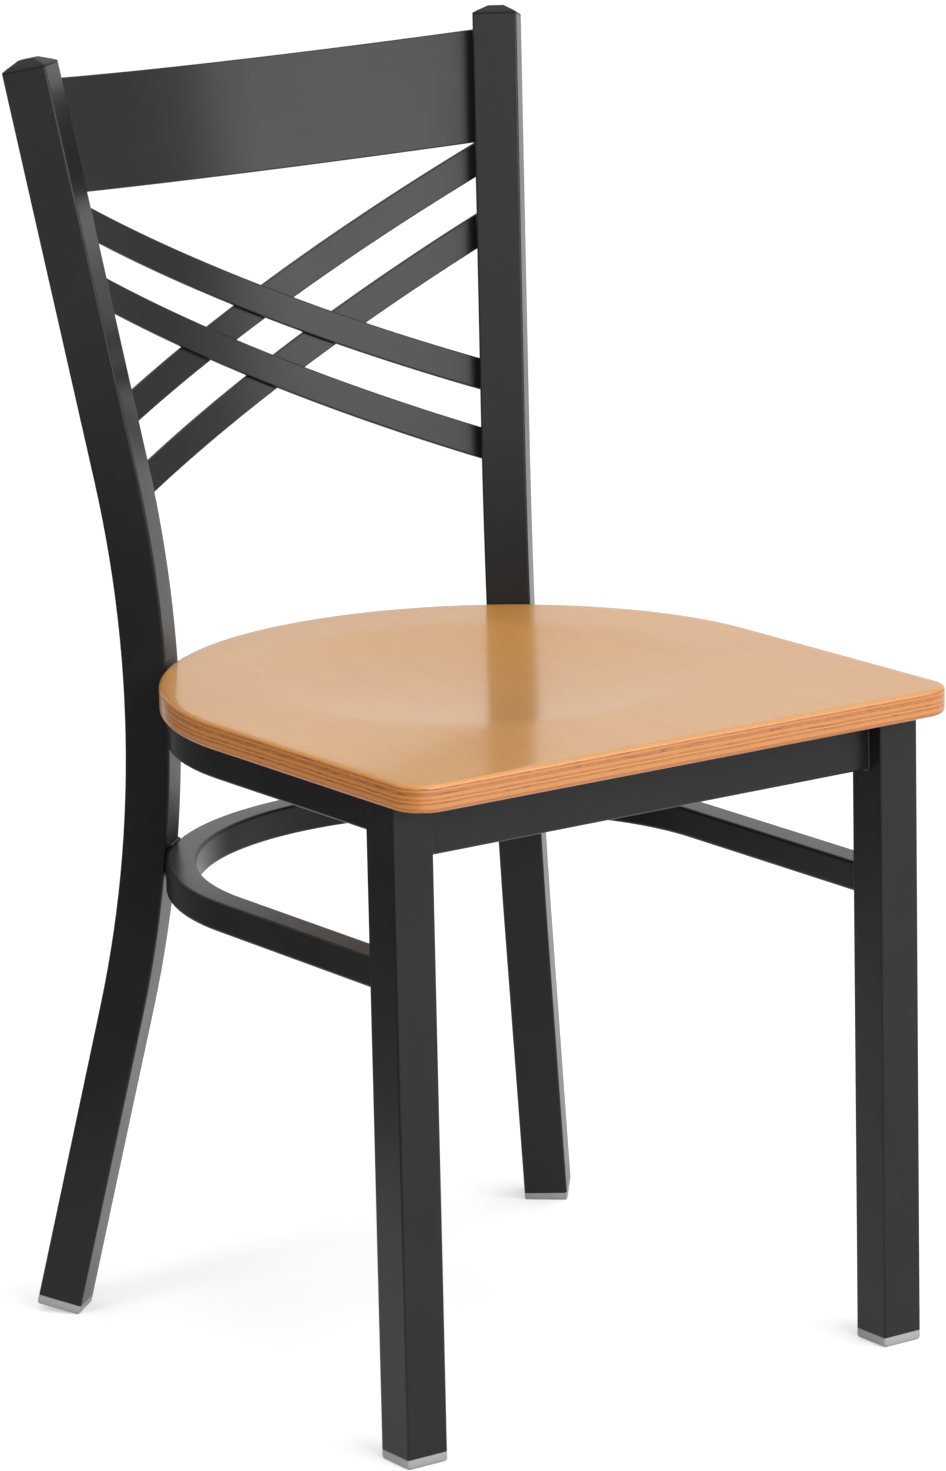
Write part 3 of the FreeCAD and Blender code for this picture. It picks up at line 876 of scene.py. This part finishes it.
def makeSeat():
    outline = seatOutline()
    count = len(outline)
    top, bottom = seatPanel["topRounding"], seatPanel["bottomRounding"]
    # How far each ring of the side lies inside the outline, and its height
    levels = [(bottom * (1 - math.sin(a)), seatLow.z + bottom * (1 - math.cos(a)))
              for a in quarterTurn(seatPanel["bottomSteps"])]
    span = seatHigh.z - top - seatLow.z - bottom
    levels += [(0.0, seatLow.z + bottom + span * k / seatPanel["sideSteps"])
               for k in range(1, seatPanel["sideSteps"])]
    levels += [(top * (1 - math.cos(a)), seatHigh.z - top + top * math.sin(a))
               for a in quarterTurn(seatPanel["topSteps"])]
    points, faces, finish = [], [], []
    for inset, height in levels:
        points += [(*(place - out * inset), height) for place, out in outline]
    for level in range(len(levels) - 1):
        faces += bandFaces(level * count, (level + 1) * count, count)
        veneered = levels[level][1] > seatHigh.z - seatPanel["veneerThickness"]
        finish += [0 if veneered else 1] * count

    centre = Vector((0, shiftY - seatPanel["dishForward"]))
    edge = [place - out * top for place, out in outline]
    previous = (len(levels) - 1) * count
    for ring in range(1, seatPanel["topRings"]):
        share = 1 - ring / seatPanel["topRings"]
        spots = [centre + (flat - centre) * share for flat in edge]
        faces += bandFaces(previous, len(points), count)
        previous = len(points)
        points += [(*spot, seatHigh.z - dishAt(spot)) for spot in spots]
    points.append((*centre, seatHigh.z - dishAt(centre)))
    faces += [(previous + k, previous + (k + 1) % count, len(points) - 1) for k in range(count)]
    faces.append(tuple(range(count - 1, -1, -1)))
    finish += [0] * (len(faces) - len(finish))
    mesh = newMesh("seatPanel", points, [], faces)
    mesh.materials.append(veneer)
    mesh.materials.append(plyEdge)
    mesh.polygons.foreach_set("material_index", finish)
    mesh.update()
    return smoothed(mesh, 60.0)


linkPiece("seatPanel", makeSeat(), "seat_panel", slot="seat_wood")
print("seat made")


def makeCap():
    flange, rise = rearPost["capFlange"], rearPost["capRise"]
    size, corner = chair["tube"], chair["tubeCorner"]
    topSize, topCorner = size - 2 * rearPost["capInset"], rearPost["capCorner"]
    rings = [roundedSquare(size - less * mm, corner - sharper * mm, height)
             for less, sharper, height in ((0.6, 0.3, 0.0), (0.1, 0, 0.25 * mm),
                                           (0.1, 0, flange - 0.5 * mm),
                                           (0.4, 0, flange - 0.1 * mm))]
    for share in (0.25, 0.5, 0.75, 1.0):
        rings.append(roundedSquare(size - 1.2 * mm + (topSize - size + 0.6 * mm) * share,
                                   corner + (topCorner - corner) * share,
                                   flange + 0.35 * mm + (rise - 0.7 * mm) * share))
    rings.append(roundedSquare(topSize - 1.6 * mm, topCorner, flange + rise))
    return loftMesh("postCapRight", rings)


def makeGlide(name):
    size, corner = chair["tube"], chair["tubeCorner"]
    radius, height = rearPost["glideRounding"], chair["glideHeight"]
    rings = []
    for angle in quarterTurn(6):
        inset = radius * (1 - math.sin(angle))
        rings.append(roundedSquare(size - 2 * inset, corner - inset * 0.9,
                                   radius * (1 - math.cos(angle))))
    rings.append(roundedSquare(size, corner, height - 0.8 * mm))
    rings.append(roundedSquare(size - 0.5 * mm, corner, height - 0.3 * mm))
    rings.append(roundedSquare(size - 1.2 * mm, corner - 0.4 * mm, height))
    return loftMesh(name, rings)


capMesh = makeCap()
capMesh.transform(axesMatrix(postTop, postSide, upperAxis))
linkPair("postCap", turnedOut(smoothed(capMesh, 32.0)), "post_cap", slot="cap_plastic",
         material=capMaterial)
frontPlace = Matrix.Translation((chair["legSide"], shiftY - chair["legForward"], 0))
rearPlace = axesMatrix(sole, postSide, -lowerAxis)
for name, place, node in (("frontGlide", frontPlace, "front_glide"),
                          ("rearGlide", rearPlace, "rear_glide")):
    glide = makeGlide(name + "Right")
    glide.transform(place)
    for vertex in glide.vertices:
        vertex.co.z = max(vertex.co.z, 0.0)  # the rear ones are worn flat where they tread
    linkPair(name, turnedOut(smoothed(glide, 50.0)), node, slot="glide_plastic",
             material=glideMaterial)
for name in ("front_left", "front_right", "rear_left", "rear_right"):
    tab = nodes["seat_tab_" + name]
    if not tab.material_slots:
        tab.data.materials.append(coating)
    for place in tab.material_slots:
        place.material = coating
print("caps, glides and tabs made")

# Weld beads where the frame's members meet, as rippled ropes that lie in the corners
weld = {
    "radius": 1.5 * mm,
    "ripple": 1.9 * mm,
    "rippleDepth": 0.14,
    "unevenScale": 420.0,
    "unevenness": 0.35,
    "overrun": 2.1 * mm,
    "step": 0.45 * mm,
    "endTaper": 2.2 * mm,
    "endSize": 0.45,
    "sides": 8,
    "seed": 4,
    "sunk": 0.35 * mm,
    "barSunk": 0.2 * mm,
    "turnIn": 1.0 * mm,
    "ringTopDrop": 2.5 * mm,
    "railRearGap": 3.0 * mm,
    "postReach": (-12, -6, 0, 6, 12),
    "tabDrop": 3.2 * mm,
    "tabGap": 0.3 * mm,
    "tabForward": 120.0 * mm,
    "tabReach": (-14, 0, 14),
    "tabAngles": (30.5, 33.5, 36.5, 39.5),
}


def makeWeldTree():
    tree, given = startTree(
        "weldBeads", "Path",
        (("Bead radius", 0.0015), ("Ripple length", 0.0019), ("Ripple depth", 0.14),
         ("Step", 0.00045), ("End taper", 0.0022)), (("Sides", 8), ("Seed", 4)))

    def calc(operation, a, b=0.5):
        return mathNode(tree, operation, a, b)

    path = addNode(tree, "GeometryNodeMeshToCurve", {"Mesh": given["Path"]})
    fine = addNode(tree, "GeometryNodeResampleCurve",
                   {"Curve": path.outputs["Curve"], "Length": given["Step"]}, mode="LENGTH")
    along = tree.nodes.new("GeometryNodeSplineParameter").outputs["Length"]
    whole = tree.nodes.new("GeometryNodeSplineLength").outputs["Length"]
    place = tree.nodes.new("GeometryNodeInputPosition")
    uneven = addNode(tree, "ShaderNodeTexNoise", noise_dimensions="4D")
    feed(tree, uneven, {"Vector": place.outputs[0], "W": given["Seed"],
                        "Scale": weld["unevenScale"]})
    turns = calc("DIVIDE", along, given["Ripple length"])
    wave = calc("ABSOLUTE", calc("SINE", calc("MULTIPLY", turns, math.pi)))
    wave = calc("MULTIPLY", wave, given["Ripple depth"])
    drift = calc("MULTIPLY", calc("SUBTRACT", uneven.outputs[0], 0.5), weld["unevenness"])
    toEnd = calc("MINIMUM", along, calc("SUBTRACT", whole, along))
    taper = calc("MINIMUM", calc("ADD", calc("DIVIDE", toEnd, given["End taper"]),
                                 weld["endSize"]), 1.0)
    radius = calc("MULTIPLY", calc("ADD", calc("ADD", wave, drift), 1.0 - weld["rippleDepth"]),
                  calc("MULTIPLY", taper, given["Bead radius"]))
    circle = addNode(tree, "GeometryNodeCurvePrimitiveCircle",
                     {"Resolution": given["Sides"], "Radius": 1.0})
    skin = addNode(tree, "GeometryNodeCurveToMesh",
                   {"Curve": fine.outputs["Curve"], "Profile Curve": circle.outputs["Curve"],
                    "Scale": radius, "Fill Caps": True})
    return endTree(tree, given, skin.outputs["Mesh"])


def barWelds():
    # Along the rear edge of each bar's ends, a little past its upper and lower edges
    paths = []
    deep = backBars["thickness"] + weld["barSunk"]
    for left, right, radius, width in barSpans.values():
        half = width / 2 + weld["overrun"]
        for side in (-1, 1):
            path = []
            for k in range(7):
                offset = -half + 2 * half * k / 6
                path.append(barPoint(left, right, radius, offset, deep,
                                     barEnd(left, right, radius, offset, deep, side)))
            paths.append(path)
    return paths


def bothSides(path):
    return [path, [Vector((-p.x, p.y, p.z)) for p in path]]


def frameWelds():
    sunk, turnIn = weld["sunk"], weld["turnIn"]
    # Lower ring on the rear faces of the front legs, all the way round
    ring = [Vector((limbSide + p.x, rearFace + sunk, lowMiddle + p.y))
            for p in roundedSquare(lowerRing["size"], lowerRing["corner"], 0.0, 3)]
    paths = bothSides(ring + ring[:1])
    # Seat ring on the same faces, below and beside
    wide = seatRing["width"] / 2
    top = chair["frameHeight"] - weld["ringTopDrop"]
    under = chair["frameHeight"] - seatRing["height"]
    paths += bothSides([Vector((ringMiddle + x, rearFace + sunk, z)) for x, z in (
        (wide, top), (wide, under + turnIn), (wide - turnIn, under), (turnIn - wide, under),
        (-wide, under + turnIn), (-wide, top))])
    # Rail on the inner faces of the front legs
    side = chair["legSide"] - halfTube - sunk
    paths += bothSides([Vector((side, y, z)) for y, z in (
        (railLow.y, top), (railLow.y, railLow.z + turnIn), (railLow.y + turnIn, railLow.z),
        (railHigh.y - weld["railRearGap"], railLow.z))])
    # Both rings on the inner faces of the rear posts
    for centreY, radius, z in ((lowerCentre, lowerRing["radius"], lowHigh.z),
                               (lowerCentre, lowerRing["radius"], lowLow.z),
                               (shiftY, chair["ringRadius"], under)):
        contact = Vector((0, centreY, z)) + postOut * radius
        middle = contact + postFlat * rearPost["sideOffset"]
        paths += bothSides([middle + postFlat * (reach * mm) for reach in weld["postReach"]])
    # Seat tabs on the inside of the ring
    tabZ = chair["frameHeight"] - weld["tabDrop"]
    inner = chair["ringRadius"] - seatRing["width"] - weld["tabGap"]
    paths += bothSides([Vector((inner, shiftY - weld["tabForward"] + y * mm, tabZ))
                        for y in weld["tabReach"]])
    paths += bothSides([Vector((inner * math.sin(math.radians(a)),
                                shiftY + inner * math.cos(math.radians(a)), tabZ))
                        for a in weld["tabAngles"]])
    return paths


weldTree = makeWeldTree()
for name, paths in (("backWelds", barWelds()), ("frameWelds", frameWelds())):
    beads = grownMesh(name, pathsMesh(paths), weldTree, {
        "Bead radius": weld["radius"], "Ripple length": weld["ripple"],
        "Ripple depth": weld["rippleDepth"], "Step": weld["step"],
        "End taper": weld["endTaper"], "Sides": weld["sides"], "Seed": weld["seed"],
        "Finish": coating})
    linkPiece(name, turnedOut(smoothed(beads, 60.0)))
print("welds made")

# Pan head screws that hold the seat from below
seatScrew = {
    "headRadius": 5.0 * mm,
    "headHeight": 3.4 * mm,
    "shankRadius": 2.4 * mm,
    "shankLength": 15.0 * mm,
    "slotWidth": 1.4 * mm,
    "slotDepth": 1.6 * mm,
    "frontForward": 120.0 * mm,
    "rearAngle": 35.0,
    "tabMiddle": 13.0 * mm,
    "tabThickness": 3.0 * mm,
    "seed": 7,
}


def makeScrewTree():
    # A domed head with a cross slot and a plain shank, turned its own way at each point
    tree, given = startTree(
        "screwsAtPoints", "Points",
        (("Head radius", 0.005), ("Head height", 0.0034), ("Shank radius", 0.0024),
         ("Shank length", 0.015), ("Slot width", 0.0014), ("Slot depth", 0.0016)),
        (("Seed", 7),))

    def vector(x, y, z):
        return addNode(tree, "ShaderNodeCombineXYZ", {0: x, 1: y, 2: z}).outputs[0]

    def scaled(label, factor):
        return mathNode(tree, "MULTIPLY", given[label], factor)

    def moved(geometry, label, change):
        return addNode(tree, "GeometryNodeTransform",
                       {"Geometry": geometry, label: change}).outputs["Geometry"]

    def cube(x, y, z):
        return addNode(tree, "GeometryNodeMeshCube", {"Size": vector(x, y, z)}).outputs["Mesh"]

    toUnderside = vector(0.0, 0.0, scaled("Head height", -1.0))
    ball = addNode(tree, "GeometryNodeMeshUVSphere", {"Segments": 28, "Rings": 14, "Radius": 1.0})
    dome = moved(ball.outputs["Mesh"], "Scale",
                 vector(given["Head radius"], given["Head radius"], given["Head height"]))
    keep = cube(scaled("Head radius", 3.0), scaled("Head radius", 3.0),
                scaled("Head height", 2.0))
    lower = moved(keep, "Translation", toUnderside)
    half = addNode(tree, "GeometryNodeMeshBoolean", operation="INTERSECT")
    join(tree, dome, half.inputs["Mesh 2"])
    join(tree, lower, half.inputs["Mesh 2"])
    cut = addNode(tree, "GeometryNodeMeshBoolean", {"Mesh 1": half.outputs["Mesh"]},
                  operation="DIFFERENCE")
    long, short = scaled("Head radius", 1.2), given["Slot width"]
    for x, y in ((long, short), (short, long)):
        slot = cube(x, y, scaled("Slot depth", 2.0))
        join(tree, moved(slot, "Translation", toUnderside), cut.inputs["Mesh 2"])
    shank = addNode(tree, "GeometryNodeMeshCylinder",
                    {"Vertices": 20, "Radius": given["Shank radius"],
                     "Depth": given["Shank length"]})
    raised = moved(shank.outputs["Mesh"], "Translation",
                   vector(0.0, 0.0, scaled("Shank length", 0.5)))
    whole = tree.nodes.new("GeometryNodeJoinGeometry")
    join(tree, cut.outputs["Mesh"], whole.inputs[0])
    join(tree, raised, whole.inputs[0])
    # Places 3 and 1 of the random value are its largest float and its float result
    spin = addNode(tree, "FunctionNodeRandomValue", {3: math.pi, "Seed": given["Seed"]},
                   data_type="FLOAT").outputs[1]
    spread = addNode(tree, "GeometryNodeInstanceOnPoints",
                     {"Points": given["Points"], "Instance": whole.outputs[0],
                      "Rotation": vector(0.0, 0.0, spin)})
    return endTree(tree, given, spread.outputs["Instances"])


screwHeight = chair["frameHeight"] - seatScrew["tabThickness"]
tabReach = chair["ringRadius"] - seatRing["width"] - seatScrew["tabMiddle"]
rearWay = math.radians(seatScrew["rearAngle"])
screwPoints = []
for side in (-1, 1):
    screwPoints.append((side * tabReach, shiftY - seatScrew["frontForward"], screwHeight))
    screwPoints.append((side * tabReach * math.sin(rearWay),
                        shiftY + tabReach * math.cos(rearWay), screwHeight))
screwMesh = grownMesh("seatScrews", newMesh("screwPoints", screwPoints, [], []),
                      makeScrewTree(), {
    "Head radius": seatScrew["headRadius"], "Head height": seatScrew["headHeight"],
    "Shank radius": seatScrew["shankRadius"], "Shank length": seatScrew["shankLength"],
    "Slot width": seatScrew["slotWidth"], "Slot depth": seatScrew["slotDepth"],
    "Seed": seatScrew["seed"], "Finish": screwMetal})
linkPiece("seatScrews", smoothed(screwMesh, 35.0), "seat_screws", slot="screw_steel")
print("screws made")

# Photograph's camera
view = {
    "lens": 257.46,
    "sensorWidth": 36.0,
    "place": (-2.49448, -3.58324 + shiftY, 1.46187),
    "yaw": 34.877,
    "pitchDown": 13.557,
    "roll": -1.257,
}
camera = bpy.data.cameras.new("photoCamera")
camera.sensor_fit = "HORIZONTAL"
camera.sensor_width = view["sensorWidth"]
camera.lens = view["lens"]
camera.clip_end = 100.0
cameraObject = addObject("photoCamera", camera)
yaw, pitch, roll = (math.radians(view[k]) for k in ("yaw", "pitchDown", "roll"))
looking = Vector((math.sin(yaw) * math.cos(pitch), math.cos(yaw) * math.cos(pitch),
                  -math.sin(pitch)))
rightward = Vector((math.cos(yaw), -math.sin(yaw), 0))
upward = rightward.cross(looking)
rolledRight = rightward * math.cos(roll) + upward * math.sin(roll)
rolledUp = upward * math.cos(roll) - rightward * math.sin(roll)
cameraObject.matrix_world = (Matrix.Translation(view["place"])
                             @ turnedBy(rolledRight, rolledUp, -looking))
bpy.context.scene.camera = cameraObject

# Pale floor, white surroundings, an overhead light, large soft lamps and a dark flag
studio = {
    "floorColor": (0.66, 0.66, 0.66),
    "floorGlow": 0.42,
    "floorCorners": ((-20, -20, 0), (20, -20, 0), (20, 30, 0), (-20, 30, 0)),
    "surroundLight": 0.52,
    "overhead": {"strength": 1.28, "angle": 58.0, "from": (0.35, -0.55, 1.6)},
    # Name, place, target, size, power, and whether shiny faces mirror it
    "lamps": (
        ("frontLamp", (0.45, -2.7, 1.42), (0, 0.2, 0.8), (3.4, 1.0), 75.0, True),
        ("frontLeftLamp", (-2.3, -1.9, 1.75), (0, 0.1, 0.7), (1.0, 1.0), 7.0, True),
        ("leftLamp", (-3.0, -0.3, 1.7), (0, 0, 0.5), (1.2, 1.2), 28.0, False),
    ),
    # Upper corners of the flag, whose lower edge lies on the floor
    "flag": ((-0.02, 0.98, 0.80), (-0.33, 0.82, 0.80), (-0.54, 0.52, 0.74),
             (-0.62, 0.12, 0.56), (-0.62, -0.28, 0.46), (-0.55, -0.62, 0.42)),
    "flagColor": (0.03, 0.03, 0.03),
    "flagGlow": 0.12,
}
white = (1.0, 1.0, 1.0, 1.0)


def makeFlag(name):
    # Dark flag beside the chair, which only mirrored light meets
    upper = studio["flag"]
    count = len(upper)
    mesh = newMesh(name, [(x, y, 0.0) for x, y, _ in upper] + list(upper), [],
                   [(k, k + 1, count + k + 1, count + k) for k in range(count - 1)])
    material, tree, shader, place = startMaterial("darkFlag")
    feed(tree, shader, {"Base Color": (*studio["flagColor"], 1.0), "Roughness": 1.0,
                        "Specular IOR Level": 0.0, "Emission Color": white,
                        "Emission Strength": studio["flagGlow"]})
    mesh.materials.append(material)
    flag = addObject(name, mesh)
    flag.visible_camera = False
    flag.visible_diffuse = False
    flag.visible_shadow = False
    flag.visible_transmission = False


def backgroundRays(tree):
    # 1 for the rays that show the white background, in view or in a reflection
    rays = addNode(tree, "ShaderNodeLightPath").outputs
    seen = mathNode(tree, "MAXIMUM", rays["Is Camera Ray"], rays["Is Glossy Ray"])
    return mathNode(tree, "MAXIMUM", seen, rays["Is Transmission Ray"])


def makeFloor():
    mesh = newMesh("floor", studio["floorCorners"], [], [(0, 1, 2, 3)])
    floor = addObject("floor", mesh)
    material, tree, shader, place = startMaterial("paleFloor")
    glow = mathNode(tree, "MULTIPLY", backgroundRays(tree), studio["floorGlow"])
    feed(tree, shader, {"Base Color": (*studio["floorColor"], 1.0), "Roughness": 0.9,
                        "Specular IOR Level": 0.1, "Emission Color": white,
                        "Emission Strength": glow})
    mesh.materials.append(material)


def makeWorld():
    world = bpy.data.worlds.new("studio")
    bpy.context.scene.world = world
    world.use_nodes = True
    tree = world.node_tree
    strength = mapRange(tree, backgroundRays(tree), (0.0, 1.0), (studio["surroundLight"], 1.0))
    feed(tree, tree.nodes["Background"], {"Color": white, "Strength": strength})


def addLamp(name, kind, place, target, power, mirrored=True):
    lamp = bpy.data.lights.new(name, kind)
    lamp.energy = power
    lampObject = addObject(name, lamp)
    lampObject.location = place
    aim = Vector(target) - Vector(place)
    lampObject.rotation_euler = aim.to_track_quat("-Z", "Y").to_euler()
    lampObject.visible_glossy = mirrored
    return lamp


makeFlag("leftFlag")
makeFloor()
makeWorld()
for name, place, target, size, power, mirrored in studio["lamps"]:
    lamp = addLamp(name, "AREA", place, target, power, mirrored)
    lamp.shape = "RECTANGLE"
    lamp.size, lamp.size_y = size
overhead = studio["overhead"]
sun = addLamp("overheadLight", "SUN", overhead["from"], (0, 0, 0), overhead["strength"])
sun.angle = math.radians(overhead["angle"])
bpy.context.scene.view_settings.view_transform = "Standard"

print("scene made")
